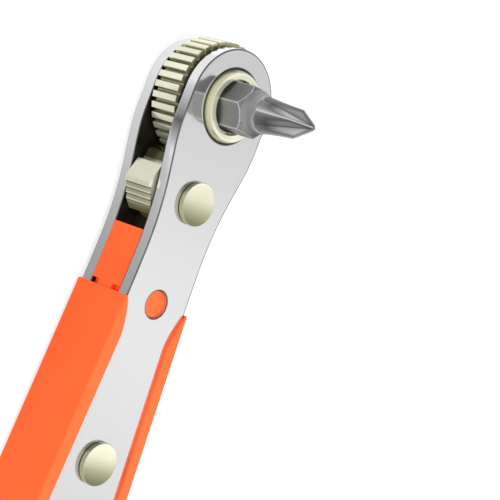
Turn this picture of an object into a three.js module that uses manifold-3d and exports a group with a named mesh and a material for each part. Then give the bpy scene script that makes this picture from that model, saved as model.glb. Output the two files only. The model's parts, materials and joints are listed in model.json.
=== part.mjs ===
// Flat pocket ratchet screwdriver: two riveted steel side plates hold a toothed thumbwheel with a hex socket,
// a reversing pawl with a thumb pad and an overmoulded grip. Millimetres, +Z up along the bit, head towards +X.
// The origin is on the drive axis, in the plane that the tool rests on when it lies on its back.
import * as THREE from 'three';
import { mergeVertices } from 'three/addons/utils/BufferGeometryUtils.js';
import Module from 'manifold-3d';

const wasm = await Module();
wasm.setup();

// Clearances
const RUNNING_CLEARANCE = 0.3;
const SEAT_GAP = 0.05;
const MOULD_GAP = 0.1;

// Side plates: a round head, a neck drawn in to a waist, then a slow flare to a round tail
const PLATE_THICKNESS = 1.75;
const PLATE_GAP = 5.55;
const PLATE_CHAMFER = 0.2;
const HEAD_STRAIGHT = 4;
const NECK_HEAD_EASE = 5;
const NECK_WAIST_EASE = 9;
const WAIST_DISTANCE = 21;
const WAIST_HALF_WIDTH = 5.6;
const FLARE_EASE = 5.6;
const TAIL_DISTANCE = 77.5;
const TAIL_OVER_WHEEL = 0.3;

// What stands above the plates: the wheel's two journals and the rivet heads
const HEAD_RISE = 0.95;

// Thumbwheel
const TOOTH_COUNT = 36;
const WHEEL_RADIUS = 8.4;
const WHEEL_PROUD = 0.6;
const TOOTH_DEPTH = 0.75;
const TOOTH_TOP_SHARE = 0.56;
const TOOTH_ROOT_SHARE = 0.66;
const WHEEL_WIDTH = 4.4;
const JOURNAL_RADIUS = 4.85;
const RING_TAPER = 0.2;
const CAP_CHAMFER = 0.45;
const WASHER_WIDTH = 1.45;
const WASHER_GAP = 0.1;

// Hex bit and its socket
const BIT_ACROSS_FLATS = 6.3;
const BIT_LENGTH = 20;
const BIT_REACH = 14.85;
const HEX_REACH = 4.1;
const HEX_TURN = 27;
const HEX_END_CHAMFER = 0.4;
const NECK_RADIUS = 2.65;
const NECK_LENGTH = 1.25;
const SHOULDER_RADIUS = 2.05;
const SHOULDER_REACH = 12.3;
const TIP_RADIUS = 0.45;
const FLUTE_START_REACH = 5.6;
const FLUTE_TIP_RADIUS = 0.27;
const FLUTE_FLOOR = 0.3;
const FLUTE_WALL_RISE = 0.4;
const SOCKET_CLEARANCE = 0.1;
const LEAD_IN_DEPTH = 1.5;
const MAGNET_RADIUS = 2.6;
const MAGNET_THICKNESS = 1.2;

// Reversing pawl, drawn about its pivot at the middle of its swing
const PIVOT_DISTANCE = 13.9;
const PAWL_SWING = 10;
const PAWL_SIDE_GAP = 0.38;
const PAWL_TAIL_RADIUS = 4.2;
const LOBE_HALF_WIDTH = 4.35;
const LOBE_SHOULDER = 4.5;
const NOSE_SPACES = 2;
const NOSE_DEPTH = 0.38;
const NOSE_TIP_WIDTH = 0.06;
const NOSE_FLANK_ANGLE = 46;
const NOSE_SIDE_GAP = 0.1;
const PAD_PROUD = 1.05;
const PAD_FORWARD = 0.9;
const PAD_SLOPE = 25;
const PAD_HEAD_LENGTH = 2.78;
const PAD_TAIL_LENGTH = 2.95;
const PAD_FOOT_DROP = 1.1;
const RIB_COUNT = 4;
const RIB_START = 0.7;
const RIB_PITCH = 0.85;
const RIB_DEPTH = 0.2;

// Detent behind the pawl
const BALL_RADIUS = 1.5;
const BALL_GAP = 0.15;
const NOTCH_DEPTH = 0.5;
const CORE_END_GAP = 1.55;
const DETENT_BORE_GAP = 0.25;
const SPRING_WIRE_RADIUS = 0.2;
const SPRING_TURNS = 5;
const SPRING_PITCH = 1;
const SPRING_END_GAP = 0.15;

// Rivets: each is a post pressed into a tube, inside a spacer sleeve
const RIVET_HEAD_RADIUS = 3;
const RIVET_RIM_CHAMFER = 0.18;
const RIVET_POST_RADIUS = 0.9;
const RIVET_TUBE_WALL = 0.5;
const SLEEVE_WALL = 0.65;
const HANDLE_RIVET_DISTANCE = 50.8;
const TAIL_RIVET_DISTANCE = 74;

// Grip moulding
const GRIP_START = 28.45;
const GRIP_FRONT_WALL = 0.39;
const GRIP_TAIL_WALL = 0.76;
const FLANGE_RISE = 0.48;
const FLANGE_LAP_FRONT = 1.5;
const FLANGE_LAP_TAIL = 0.94;
const FLANGE_SWEEP = 5.35;
const FLANGE_SWEEP_EASE = 2.2;
const GRIP_CORNER = 0.38;
const CORE_PROUD = 0.1;
const PEG_DISTANCE = 28.35;
const PEG_HOLE_RADIUS = 1.9;
const PEG_RECESS = 0.35;
const RELIEF_LENGTH = 0.75;
const RELIEF_WIDTH = 1.5;
const RELIEF_DEPTH = 0.8;

// How finely curves are cut
const ROUND_STEPS = 48;
const SMALL_ROUND_STEPS = 32;
const ARC_STEPS = 16;
const CURVE_STEPS = 10;
const WELD = 1e-5;

// Levels up the tool
const REAR_PLATE_BOTTOM = HEAD_RISE;
const REAR_PLATE_TOP = REAR_PLATE_BOTTOM + PLATE_THICKNESS;
const FRONT_PLATE_BOTTOM = REAR_PLATE_TOP + PLATE_GAP;
const FRONT_PLATE_TOP = FRONT_PLATE_BOTTOM + PLATE_THICKNESS;
const FRONT_FACE = FRONT_PLATE_TOP + HEAD_RISE;
const MIDDLE = (REAR_PLATE_TOP + FRONT_PLATE_BOTTOM) / 2;
const BIT_TIP = FRONT_PLATE_TOP + BIT_REACH;
const BIT_BOTTOM = BIT_TIP - BIT_LENGTH;
const HEX_END = FRONT_PLATE_TOP + HEX_REACH;

// Places along the tool and sizes that several pieces share
const TOOTH_PITCH = 360 / TOOTH_COUNT;
const HEAD_RADIUS = WHEEL_RADIUS - WHEEL_PROUD;
const PLATE_TAIL_RADIUS = WHEEL_RADIUS + TAIL_OVER_WHEEL;
const JOURNAL_HOLE_RADIUS = JOURNAL_RADIUS + RUNNING_CLEARANCE;
const WASHER_RADIUS = JOURNAL_HOLE_RADIUS + WASHER_WIDTH;
const RIVET_TUBE_RADIUS = RIVET_POST_RADIUS + SEAT_GAP + RIVET_TUBE_WALL;
const RIVET_HOLE_RADIUS = RIVET_TUBE_RADIUS + SEAT_GAP;
const SLEEVE_RADIUS = RIVET_HOLE_RADIUS + SLEEVE_WALL;
const CORE_END = PIVOT_DISTANCE + PAWL_TAIL_RADIUS + CORE_END_GAP;
const BALL_DISTANCE = PIVOT_DISTANCE + PAWL_TAIL_RADIUS - NOTCH_DEPTH + BALL_GAP + BALL_RADIUS;
const DETENT_BORE_RADIUS = BALL_RADIUS + DETENT_BORE_GAP;
const SPRING_RADIUS = BALL_RADIUS - 2 * SPRING_WIRE_RADIUS;
const SPRING_START = BALL_DISTANCE + Math.sqrt(BALL_RADIUS ** 2 - SPRING_RADIUS ** 2) + SPRING_END_GAP;
const SPRING_LENGTH = SPRING_TURNS * SPRING_PITCH + 2 * SPRING_WIRE_RADIUS;
const DETENT_BORE_END = SPRING_START + SPRING_LENGTH + SPRING_END_GAP;

const radians = THREE.MathUtils.degToRad;
const polar = (radius, degrees) =>
  new THREE.Vector2(radius * Math.cos(radians(degrees)), radius * Math.sin(radians(degrees)));
const point = (x, y) => new THREE.Vector2(x, y);
const origin2 = point(0, 0);

// A closed mesh as a solid that can be joined and cut
function solidOf(geometry) {
  const bare = new THREE.BufferGeometry();
  bare.setAttribute('position', geometry.getAttribute('position').clone());
  bare.setIndex(geometry.index ? geometry.index.clone() : null);
  const welded = mergeVertices(bare, WELD);
  const corners = welded.index.array;
  const triangles = [];
  for (let i = 0; i < corners.length; i += 3) {
    const [a, b, c] = [corners[i], corners[i + 1], corners[i + 2]];
    if (a !== b && b !== c && c !== a) triangles.push(a, b, c);
  }
  return new wasm.Manifold(new wasm.Mesh({
    numProp: 3,
    vertProperties: new Float32Array(welded.getAttribute('position').array),
    triVerts: new Uint32Array(triangles),
  }));
}

// A solid as a mesh for the scene
function geometryOf(solid) {
  const { vertProperties, triVerts } = solid.getMesh();
  const geometry = new THREE.BufferGeometry();
  geometry.setAttribute('position', new THREE.BufferAttribute(vertProperties, 3));
  geometry.setIndex(new THREE.BufferAttribute(triVerts, 1));
  geometry.computeVertexNormals();
  return geometry;
}

// An outline raised from one level to another, with optional chamfered or rounded rims
function slab(outline, bottom, top, rim = 0, rimSteps = 1) {
  const geometry = new THREE.ExtrudeGeometry(new THREE.Shape(outline), {
    depth: top - bottom - 2 * rim,
    bevelEnabled: rim > 0,
    bevelSize: rim,
    bevelOffset: -rim,
    bevelThickness: rim,
    bevelSegments: rimSteps,
  });
  return solidOf(geometry.translate(0, 0, bottom + rim));
}

// A turned piece about Z from its half section, listed as [radius, level] from the bottom up
function turned(section, steps = ROUND_STEPS) {
  const geometry = new THREE.LatheGeometry(section.map(([radius, level]) => point(radius, level)), steps);
  return solidOf(geometry.rotateX(Math.PI / 2));
}

const disc = (radius, bottom, top, steps = ROUND_STEPS) =>
  turned([[0, bottom], [radius, bottom], [radius, top], [0, top]], steps);

const pipe = (inner, outer, bottom, top, steps = SMALL_ROUND_STEPS) =>
  turned([[inner, bottom], [outer, bottom], [outer, top], [inner, top], [inner, bottom]], steps);

const joined = (solids) => solids.reduce((whole, solid) => whole.add(solid));
const cut = (solid, tools) => tools.reduce((rest, tool) => rest.subtract(tool), solid);

// Points of a circular arc, both ends included
function arc(centre, radius, from, to, steps = ARC_STEPS) {
  return Array.from({ length: steps + 1 }, (_, i) => polar(radius, from + (to - from) * i / steps).add(centre));
}

// A full outline from its upper half, which runs from +X to -X
function mirrored(half) {
  const lower = half.filter(({ y }) => y > WELD).map(({ x, y }) => point(x, -y)).reverse();
  return [...half, ...lower];
}

// The upper edge of a side plate from the head to the tail, moved outwards by grow
function plateEdge(grow = 0) {
  const head = HEAD_RADIUS + grow;
  const waist = WAIST_HALF_WIDTH + grow;
  const tail = PLATE_TAIL_RADIUS + grow;
  const neck = new THREE.CubicBezierCurve(
    point(-HEAD_STRAIGHT, head),
    point(-HEAD_STRAIGHT - NECK_HEAD_EASE, head),
    point(-WAIST_DISTANCE + NECK_WAIST_EASE, waist),
    point(-WAIST_DISTANCE, waist),
  );
  const flare = new THREE.QuadraticBezierCurve(
    point(-WAIST_DISTANCE, waist),
    point(-WAIST_DISTANCE - FLARE_EASE, waist),
    point(-TAIL_DISTANCE, tail),
  );
  return [
    ...arc(origin2, head, 0, 90),
    ...neck.getPoints(CURVE_STEPS),
    ...flare.getPoints(CURVE_STEPS).slice(1),
    ...arc(point(-TAIL_DISTANCE, 0), tail, 90, 180).slice(1),
  ];
}

// Half the plate's width at a distance behind the drive axis
function plateHalfWidth(distance) {
  const edge = plateEdge();
  const i = edge.findIndex(({ x }) => x <= -distance);
  const [ahead, behind] = [edge[i - 1], edge[i]];
  return THREE.MathUtils.mapLinear(-distance, ahead.x, behind.x, ahead.y, behind.y);
}

const material = (color, roughness, metalness) => new THREE.MeshStandardMaterial({ color, roughness, metalness });
const plateSteel = () => material(0xd6d7d9, 0.22, 1);
const paleNickel = () => material(0xe4e2c4, 0.25, 1);
const bitSteel = () => material(0x8d8f92, 0.32, 1);
const springSteel = () => material(0x9a9ca0, 0.35, 1);
const orangePlastic = () => material(0xff6b35, 0.45, 0);

const tool = new THREE.Group();

function addPiece(name, solid, finish) {
  const mesh = new THREE.Mesh(geometryOf(solid), finish);
  mesh.name = name;
  tool.add(mesh);
  return mesh;
}

// Side plates: the same blank twice, with holes for the wheel, the rivets and the moulding's pegs
function sidePlate(bottom) {
  const top = bottom + PLATE_THICKNESS;
  const hole = (radius, distance) => disc(radius, bottom - 1, top + 1).translate(-distance, 0, 0);
  return cut(slab(mirrored(plateEdge()), bottom, top, PLATE_CHAMFER), [
    hole(JOURNAL_HOLE_RADIUS, 0),
    hole(PEG_HOLE_RADIUS, PEG_DISTANCE),
    ...[PIVOT_DISTANCE, HANDLE_RIVET_DISTANCE, TAIL_RIVET_DISTANCE].map((x) => hole(RIVET_HOLE_RADIUS, x)),
  ]);
}

addPiece('rear_plate', sidePlate(REAR_PLATE_BOTTOM), plateSteel());
addPiece('front_plate', sidePlate(FRONT_PLATE_BOTTOM), plateSteel());

// Thumbwheel: square-topped teeth with a space on the -X side, a journal in each plate and a blind hex socket
function toothedOutline() {
  const root = WHEEL_RADIUS - TOOTH_DEPTH;
  const halfTop = TOOTH_PITCH * TOOTH_TOP_SHARE / 2;
  const halfRoot = TOOTH_PITCH * TOOTH_ROOT_SHARE / 2;
  return Array.from({ length: TOOTH_COUNT }, (_, i) => (i + 0.5) * TOOTH_PITCH).flatMap((middle) => [
    polar(root, middle - halfRoot),
    polar(WHEEL_RADIUS, middle - halfTop),
    polar(WHEEL_RADIUS, middle + halfTop),
    polar(root, middle + halfRoot),
  ]);
}

function hexPrism(acrossFlats, bottom, top) {
  const corner = acrossFlats / Math.sqrt(3);
  return slab(Array.from({ length: 6 }, (_, i) => polar(corner, HEX_TURN + 60 * i)), bottom, top);
}

const hexCorner = BIT_ACROSS_FLATS / Math.sqrt(3);
const leadInRadius = hexCorner + SOCKET_CLEARANCE;
const magnetTop = BIT_BOTTOM - SEAT_GAP;
const magnetBottom = magnetTop - MAGNET_THICKNESS;

const wheelBlank = joined([
  slab(toothedOutline(), MIDDLE - WHEEL_WIDTH / 2, MIDDLE + WHEEL_WIDTH / 2),
  turned([
    [0, 0],
    [JOURNAL_RADIUS - CAP_CHAMFER, 0],
    [JOURNAL_RADIUS, CAP_CHAMFER],
    [JOURNAL_RADIUS, FRONT_PLATE_TOP],
    [JOURNAL_RADIUS - RING_TAPER, FRONT_FACE],
    [0, FRONT_FACE],
  ]),
]);
addPiece('ratchet_wheel', cut(wheelBlank, [
  disc(leadInRadius, FRONT_FACE - LEAD_IN_DEPTH, FRONT_FACE + 1),
  hexPrism(BIT_ACROSS_FLATS + 2 * SOCKET_CLEARANCE, BIT_BOTTOM - SEAT_GAP, FRONT_FACE),
  disc(MAGNET_RADIUS + SEAT_GAP, magnetBottom - SEAT_GAP, BIT_BOTTOM, SMALL_ROUND_STEPS),
]), paleNickel());

addPiece('bit_magnet', disc(MAGNET_RADIUS, magnetBottom, magnetTop - SEAT_GAP, SMALL_ROUND_STEPS), springSteel());

const washer = (bottom, top) => pipe(JOURNAL_HOLE_RADIUS, WASHER_RADIUS, bottom, top, ROUND_STEPS);
addPiece('rear_thrust_washer',
  washer(REAR_PLATE_TOP + WASHER_GAP, MIDDLE - WHEEL_WIDTH / 2 - WASHER_GAP), springSteel());
addPiece('front_thrust_washer',
  washer(MIDDLE + WHEEL_WIDTH / 2 + WASHER_GAP, FRONT_PLATE_BOTTOM - WASHER_GAP), springSteel());

// Cross-tip bit: hex shank with chamfered ends, a tapering neck and four flutes that leave four wings
function fluteCutter(turn) {
  const rise = SHOULDER_REACH;
  const slope = Math.atan2(NECK_RADIUS - FLUTE_TIP_RADIUS, BIT_REACH - FLUTE_START_REACH);
  const length = 2 * rise;
  const reach = 2 * NECK_RADIUS;
  const halfFloor = FLUTE_FLOOR / 2;
  const wallTop = FLUTE_WALL_RISE * reach;
  const vee = new THREE.Shape([
    point(-halfFloor, 0), point(halfFloor, 0), point(halfFloor + reach, wallTop), point(halfFloor + reach, reach),
    point(-halfFloor - reach, reach), point(-halfFloor - reach, wallTop),
  ]);
  const along = new THREE.Vector3(-Math.sin(slope), 0, Math.cos(slope));
  const outward = new THREE.Vector3(Math.cos(slope), 0, Math.sin(slope));
  const across = new THREE.Vector3().crossVectors(outward, along);
  const place = new THREE.Matrix4().makeBasis(across, outward, along)
    .setPosition(NECK_RADIUS, 0, FRONT_PLATE_TOP + FLUTE_START_REACH);
  const prism = new THREE.ExtrudeGeometry(vee, { depth: length, bevelEnabled: false });
  prism.translate(0, 0, -length / 4).applyMatrix4(place).rotateZ(radians(turn));
  return solidOf(prism);
}

function hexShank() {
  const inset = hexCorner - HEX_END_CHAMFER;
  const neckTop = HEX_END + NECK_LENGTH;
  const limits = turned([
    [0, BIT_BOTTOM],
    [inset, BIT_BOTTOM],
    [hexCorner, BIT_BOTTOM + HEX_END_CHAMFER],
    [hexCorner, HEX_END],
    [NECK_RADIUS, neckTop],
    [0, neckTop],
  ]);
  return hexPrism(BIT_ACROSS_FLATS, BIT_BOTTOM, neckTop).intersect(limits);
}

function crossTip() {
  const level = (reach) => FRONT_PLATE_TOP + reach;
  const blank = turned([
    [0, HEX_END],
    [NECK_RADIUS, HEX_END],
    [NECK_RADIUS, HEX_END + NECK_LENGTH],
    [SHOULDER_RADIUS, level(SHOULDER_REACH)],
    [TIP_RADIUS, BIT_TIP],
    [0, BIT_TIP],
  ], SMALL_ROUND_STEPS);
  return cut(blank, [45, 135, 225, 315].map(fluteCutter));
}

addPiece('screwdriver_bit', hexShank().add(crossTip()), bitSteel());

// Reversing pawl: a round body on the pivot, two lobes that face the wheel with a nose each, and a ribbed pad
const pawlBottom = REAR_PLATE_TOP + PAWL_SIDE_GAP;
const pawlTop = FRONT_PLATE_BOTTOM - PAWL_SIDE_GAP;
const halfSwing = PAWL_SWING / 2;
const padReach = plateHalfWidth(PIVOT_DISTANCE) + PAD_PROUD;
const padDrop = (length) => length * Math.tan(radians(PAD_SLOPE));

function padOutline() {
  const head = PAD_FORWARD + PAD_HEAD_LENGTH;
  const tail = PAD_FORWARD - PAD_TAIL_LENGTH;
  const tailTop = padReach - padDrop(PAD_TAIL_LENGTH);
  const foot = tailTop - PAD_FOOT_DROP;
  return [
    point(head, 0),
    point(head, padReach - padDrop(PAD_HEAD_LENGTH)),
    point(PAD_FORWARD, padReach),
    point(tail, tailTop),
    point(tail - PAD_FOOT_DROP, foot),
    point(tail - PAD_FOOT_DROP + padDrop(PAD_FOOT_DROP), foot - padDrop(PAD_FOOT_DROP)),
    point(tail, 0),
  ];
}

// One step of the pad's shingled tail: it drops in behind a lip and comes back out to the next one
function padStep(index) {
  const lip = -RIB_START - index * RIB_PITCH;
  const next = lip - RIB_PITCH;
  const step = [point(next, RIB_DEPTH), point(next, 0), point(lip, -RIB_DEPTH), point(lip, RIB_DEPTH)];
  const apex = point(PAD_FORWARD, padReach);
  const slope = radians(PAD_SLOPE);
  return slab(step.map(({ x, y }) => point(x, y).rotateAround(origin2, slope).add(apex)), pawlBottom - 1,
    pawlTop + 1);
}

// One nose as it sits in a tooth space when the pawl has rocked that way
function noseOutline() {
  const root = NOSE_SPACES * TOOTH_PITCH;
  const spaceHalf = radians(TOOTH_PITCH * (1 - TOOTH_TOP_SHARE) / 2) * WHEEL_RADIUS;
  const steep = -(spaceHalf - NOSE_SIDE_GAP);
  const tipRadius = WHEEL_RADIUS - NOSE_DEPTH;
  const outer = WHEEL_RADIUS + 2 * NOSE_DEPTH;
  const lean = Math.tan(radians(NOSE_FLANK_ANGLE)) * (outer - tipRadius);
  const place = (radius, aside) => polar(radius, 180 - root - THREE.MathUtils.radToDeg(aside / radius))
    .add(point(PIVOT_DISTANCE, 0)).rotateAround(origin2, radians(halfSwing));
  return [
    place(tipRadius, steep),
    place(outer, steep),
    place(outer + LOBE_SHOULDER / 2, steep),
    place(outer + LOBE_SHOULDER / 2, steep + NOSE_TIP_WIDTH + lean),
    place(outer, steep + NOSE_TIP_WIDTH + lean),
    place(tipRadius, steep + NOSE_TIP_WIDTH),
  ];
}

// The wheel's rim and the detent ball as the pawl meets them, from one end of its swing to the other
const swings = [-1, -0.5, 0, 0.5, 1].map((share) => share * halfSwing);
const atSwing = (solid, swing) => solid.rotate(0, 0, swing);

function pawlSolid() {
  const lobes = slab([
    point(0, -LOBE_HALF_WIDTH),
    point(PIVOT_DISTANCE - WHEEL_RADIUS, -LOBE_HALF_WIDTH),
    point(PIVOT_DISTANCE - WHEEL_RADIUS, LOBE_HALF_WIDTH),
    point(0, LOBE_HALF_WIDTH),
  ], pawlBottom, pawlTop);
  const body = joined([
    disc(PAWL_TAIL_RADIUS, pawlBottom, pawlTop),
    lobes,
    slab(padOutline(), pawlBottom, pawlTop),
  ]);
  const rim = disc(WHEEL_RADIUS + RUNNING_CLEARANCE, pawlBottom - 1, pawlTop + 1).translate(PIVOT_DISTANCE, 0, 0);
  const ball = disc(BALL_RADIUS + BALL_GAP, pawlBottom - 1, pawlTop + 1).translate(PIVOT_DISTANCE - BALL_DISTANCE, 0, 0);
  const shaped = cut(body, [
    ...swings.map((swing) => atSwing(rim, swing)),
    ...[-halfSwing, halfSwing].map((swing) => atSwing(ball, swing)),
    ...Array.from({ length: RIB_COUNT }, (_, i) => padStep(i)),
  ]);
  const nose = noseOutline();
  const opposite = nose.map(({ x, y }) => point(x, -y)).reverse();
  const bored = disc(SLEEVE_RADIUS + RUNNING_CLEARANCE, pawlBottom - 1, pawlTop + 1);
  return joined([shaped, slab(nose, pawlBottom, pawlTop), slab(opposite, pawlBottom, pawlTop)]).subtract(bored);
}

const pawl = addPiece('reversing_pawl', pawlSolid(), paleNickel());
pawl.position.x = -PIVOT_DISTANCE;
pawl.rotation.z = radians(halfSwing);

// Rivets and the sleeves that keep the plates apart
function rivetHead(outside, inside) {
  const rim = outside + Math.sign(inside - outside) * RIVET_RIM_CHAMFER;
  const section = [[0, outside], [RIVET_HEAD_RADIUS - RIVET_RIM_CHAMFER, outside], [RIVET_HEAD_RADIUS, rim],
    [RIVET_HEAD_RADIUS, inside], [0, inside]];
  return turned(inside > outside ? section : section.reverse());
}

function addRivet(name, distance) {
  const post = joined([
    rivetHead(FRONT_FACE, FRONT_PLATE_TOP + SEAT_GAP),
    disc(RIVET_POST_RADIUS, REAR_PLATE_TOP, FRONT_FACE - RIVET_RIM_CHAMFER, SMALL_ROUND_STEPS),
  ]);
  const tube = joined([
    rivetHead(0, REAR_PLATE_BOTTOM - SEAT_GAP),
    disc(RIVET_TUBE_RADIUS, RIVET_RIM_CHAMFER, FRONT_PLATE_TOP - SEAT_GAP, SMALL_ROUND_STEPS),
  ]).subtract(disc(RIVET_POST_RADIUS + SEAT_GAP, REAR_PLATE_TOP - SEAT_GAP, FRONT_FACE, SMALL_ROUND_STEPS));
  const sleeve = pipe(RIVET_HOLE_RADIUS, SLEEVE_RADIUS, REAR_PLATE_TOP + SEAT_GAP, FRONT_PLATE_BOTTOM - SEAT_GAP);
  addPiece(`${name}_rivet_post`, post, paleNickel()).position.x = -distance;
  addPiece(`${name}_rivet_tube`, tube, paleNickel()).position.x = -distance;
  addPiece(`${name}_sleeve`, sleeve, springSteel()).position.x = -distance;
}

addRivet('pawl', PIVOT_DISTANCE);
addRivet('handle', HANDLE_RIVET_DISTANCE);
addRivet('tail', TAIL_RIVET_DISTANCE);

// Grip moulding: a core between the plates, walls and flanges round their edges, and pegs in their holes
const gripFrontHalf = plateHalfWidth(GRIP_START) + GRIP_FRONT_WALL;
const gripTailRadius = PLATE_TAIL_RADIUS + GRIP_TAIL_WALL;
const tailCentre = point(-TAIL_DISTANCE, 0);

function gripOutline() {
  return mirrored([point(-GRIP_START, gripFrontHalf), ...arc(tailCentre, gripTailRadius, 90, 180)]);
}

function coreOutline() {
  const edge = plateEdge(CORE_PROUD).filter(({ x }) => x < -CORE_END);
  return mirrored([point(-CORE_END, plateHalfWidth(CORE_END) + CORE_PROUD), ...edge]);
}

// The part of each plate's outer face that the flanges leave bare
function flangeWindow(bottom, top) {
  const openHalf = plateHalfWidth(GRIP_START) + MOULD_GAP;
  const fullDistance = GRIP_START + FLANGE_SWEEP;
  const frontHalf = plateHalfWidth(fullDistance) - FLANGE_LAP_FRONT;
  const sweep = new THREE.QuadraticBezierCurve(
    point(-GRIP_START, openHalf),
    point(-fullDistance + FLANGE_SWEEP_EASE, frontHalf),
    point(-fullDistance, frontHalf),
  );
  const half = [
    point(-CORE_END, openHalf),
    ...sweep.getPoints(CURVE_STEPS),
    ...arc(tailCentre, PLATE_TAIL_RADIUS - FLANGE_LAP_TAIL, 90, 180),
  ];
  return slab(mirrored(half), bottom, top);
}

function reliefPocket(side, bottom) {
  const half = plateHalfWidth(GRIP_START);
  const pocket = [
    point(-GRIP_START, half - RELIEF_DEPTH),
    point(-GRIP_START + RELIEF_LENGTH, half - RELIEF_DEPTH),
    point(-GRIP_START + RELIEF_LENGTH, half + 1),
    point(-GRIP_START, half + 1),
  ];
  return slab(side > 0 ? pocket : pocket.map(({ x, y }) => point(x, -y)).reverse(), bottom, bottom + RELIEF_WIDTH);
}

function gripSolid() {
  const lowest = REAR_PLATE_BOTTOM - FLANGE_RISE;
  const highest = FRONT_PLATE_TOP + FLANGE_RISE;
  const room = mirrored(plateEdge(MOULD_GAP));
  const shell = cut(slab(gripOutline(), lowest, highest, GRIP_CORNER, 2), [
    slab(room, REAR_PLATE_BOTTOM - MOULD_GAP, REAR_PLATE_TOP + MOULD_GAP),
    slab(room, FRONT_PLATE_BOTTOM - MOULD_GAP, FRONT_PLATE_TOP + MOULD_GAP),
    flangeWindow(lowest - 1, REAR_PLATE_BOTTOM),
    flangeWindow(FRONT_PLATE_TOP, highest + 1),
  ]);
  const core = slab(coreOutline(), REAR_PLATE_TOP + MOULD_GAP, FRONT_PLATE_BOTTOM - MOULD_GAP);
  const peg = disc(PEG_HOLE_RADIUS - MOULD_GAP, REAR_PLATE_BOTTOM + PEG_RECESS, FRONT_PLATE_TOP - PEG_RECESS);
  const sleeveBore = disc(SLEEVE_RADIUS + MOULD_GAP, REAR_PLATE_TOP, FRONT_PLATE_BOTTOM, SMALL_ROUND_STEPS);
  const detentBore = disc(DETENT_BORE_RADIUS, CORE_END - 1, DETENT_BORE_END, SMALL_ROUND_STEPS)
    .rotate(0, -90, 0).translate(0, 0, MIDDLE);
  return cut(joined([shell, core, peg.translate(-PEG_DISTANCE, 0, 0)]), [
    sleeveBore.translate(-HANDLE_RIVET_DISTANCE, 0, 0),
    sleeveBore.translate(-TAIL_RIVET_DISTANCE, 0, 0),
    detentBore,
    ...[1, -1].flatMap((side) => [
      reliefPocket(side, REAR_PLATE_TOP),
      reliefPocket(side, FRONT_PLATE_BOTTOM - RELIEF_WIDTH),
    ]),
  ]);
}

addPiece('grip_handle', gripSolid(), orangePlastic());

// Detent ball, and the coil spring behind it
const ballRings = ARC_STEPS;
const ballSection = arc(origin2, BALL_RADIUS, -90, 90, ballRings).map(({ x, y }) => [Math.max(x, 0), y]);
ballSection[0][0] = 0;
ballSection[ballRings][0] = 0;
addPiece('detent_ball', turned(ballSection, SMALL_ROUND_STEPS), springSteel())
  .position.set(-BALL_DISTANCE, 0, MIDDLE);

class Coil extends THREE.Curve {
  getPoint(share, target = new THREE.Vector3()) {
    const turn = 2 * Math.PI * SPRING_TURNS * share;
    const advance = SPRING_WIRE_RADIUS + SPRING_PITCH * SPRING_TURNS * share;
    return target.set(-SPRING_START - advance, SPRING_RADIUS * Math.cos(turn), SPRING_RADIUS * Math.sin(turn));
  }
}

const wireSection = new THREE.Shape(arc(origin2, SPRING_WIRE_RADIUS, 0, 288, 4));
const coilSteps = SPRING_TURNS * 8;
const coil = new Coil();
const wire = new THREE.ExtrudeGeometry(wireSection, { steps: coilSteps, extrudePath: coil });
addPiece('detent_spring', solidOf(wire), springSteel()).position.z = MIDDLE;

// The least gap between neighbouring turns of the spring's wire
const coilPoints = coil.getPoints(coilSteps * 4);
const turnPoints = coilPoints.length / SPRING_TURNS;
const leastGap = coilPoints.reduce((least, here, i) => coilPoints.slice(i + Math.ceil(turnPoints / 2))
  .reduce((near, there) => Math.min(near, here.distanceTo(there)), least), Infinity) - 2 * SPRING_WIRE_RADIUS;
console.log(`detent spring: least gap between turns ${leastGap.toFixed(2)} mm`);

export default tool;
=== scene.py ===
# %% [markdown]
# # A flat pocket ratchet screwdriver
# Two polished steel plates are riveted together with a toothed thumbwheel, a reversing pawl and an orange
# grip between them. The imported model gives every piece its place, so this lesson only dresses it: finer
# meshes with soft edges, procedural finishes, a plain studio and the photograph's camera.
# Sizes are written in millimetres, as a maker would, and turned into metres where a mesh is made.

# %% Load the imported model
import json
import math

import bmesh
import bpy
from mathutils import Matrix, Vector

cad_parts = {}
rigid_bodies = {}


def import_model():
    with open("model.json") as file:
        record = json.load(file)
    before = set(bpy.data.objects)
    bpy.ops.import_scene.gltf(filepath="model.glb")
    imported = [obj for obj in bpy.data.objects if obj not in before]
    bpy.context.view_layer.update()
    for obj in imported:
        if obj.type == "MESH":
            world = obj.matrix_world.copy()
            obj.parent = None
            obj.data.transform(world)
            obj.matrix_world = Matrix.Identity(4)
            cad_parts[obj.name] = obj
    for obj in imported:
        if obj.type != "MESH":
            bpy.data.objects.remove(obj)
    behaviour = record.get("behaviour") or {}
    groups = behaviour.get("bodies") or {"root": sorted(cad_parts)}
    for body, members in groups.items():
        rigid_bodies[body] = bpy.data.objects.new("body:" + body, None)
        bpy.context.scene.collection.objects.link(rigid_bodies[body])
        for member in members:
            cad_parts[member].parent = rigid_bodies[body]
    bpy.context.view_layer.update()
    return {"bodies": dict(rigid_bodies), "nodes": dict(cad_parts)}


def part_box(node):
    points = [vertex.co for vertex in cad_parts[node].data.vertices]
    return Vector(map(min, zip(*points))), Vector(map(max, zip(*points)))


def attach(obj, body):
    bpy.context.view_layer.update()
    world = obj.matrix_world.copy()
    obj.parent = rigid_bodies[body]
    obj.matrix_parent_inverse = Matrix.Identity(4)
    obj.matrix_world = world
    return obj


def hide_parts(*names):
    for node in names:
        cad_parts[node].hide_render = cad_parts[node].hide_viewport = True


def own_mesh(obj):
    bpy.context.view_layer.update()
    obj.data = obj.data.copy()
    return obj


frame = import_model()
MM = 0.001


def box_mm(node):
    """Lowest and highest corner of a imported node, in millimetres."""
    low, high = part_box(node)
    return Vector(low) / MM, Vector(high) / MM


def levels_of(node):
    """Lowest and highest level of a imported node, in millimetres."""
    low, high = box_mm(node)
    return low.z, high.z


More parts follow.
